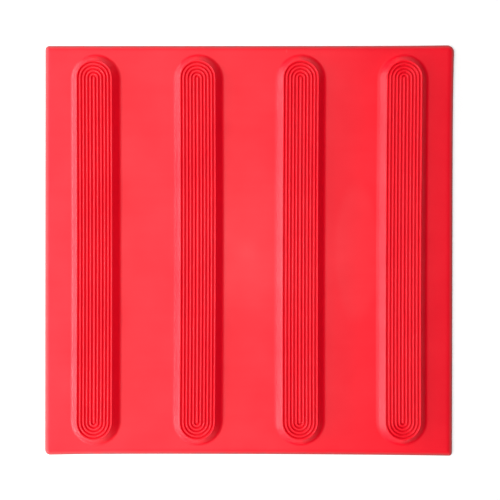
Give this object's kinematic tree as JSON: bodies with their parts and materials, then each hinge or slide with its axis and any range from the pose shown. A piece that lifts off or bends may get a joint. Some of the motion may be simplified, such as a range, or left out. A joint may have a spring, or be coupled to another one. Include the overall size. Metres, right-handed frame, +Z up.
{
  "type": "tactile paving slab",
  "caption": "Thin square tactile paving tile with raised, round-ended guiding bars whose flat tops carry nested ribs, laid on a floor to guide a cane or foot along the bars.",
  "frame": {"origin": "middle of the flat underside, on the floor", "axes": "+Z up through the bars, +Y along the bars, +X across them"},
  "size_m": [0.3, 0.3, 0.007],
  "materials": {
    "red_polymer": "satin red moulded elastomer, coloured right through"
  },
  "bodies": {
    "root": {"tactile_slab": "red_polymer"}
  },
  "joints": []
}
